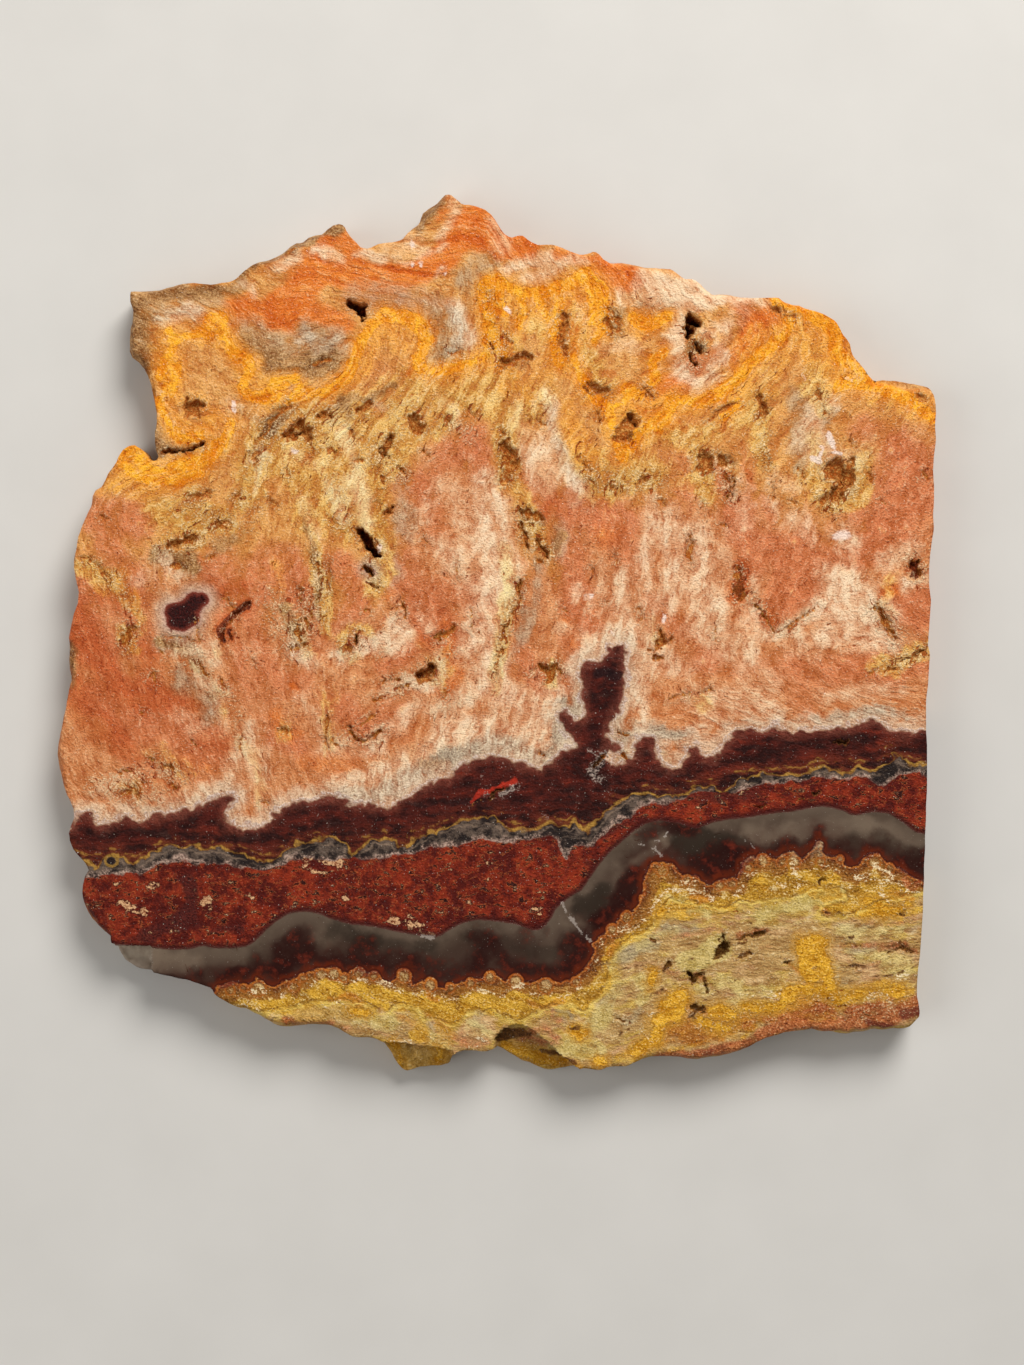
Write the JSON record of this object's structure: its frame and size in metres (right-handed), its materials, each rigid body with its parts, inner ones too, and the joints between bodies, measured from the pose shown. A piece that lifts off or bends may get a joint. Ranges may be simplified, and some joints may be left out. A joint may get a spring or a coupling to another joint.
{
  "type": "opal slab",
  "caption": "Thin sawn slab of banded orange and red opal over grey agate, with natural rough edges; lies on its flat back as a specimen.",
  "frame": {"origin": "centre of the outline's box, on the sawn back face the slab lies on", "axes": "+Z out of the show face, +Y towards the peaked orange top edge, +X towards the straight sawn edge"},
  "size_m": [0.1298, 0.13, 0.007],
  "materials": {
    "opal": "satin sawn face with open pockets, rough rind at the edges"
  },
  "bodies": {
    "root": {"opal_slab": "opal"}
  },
  "joints": []
}
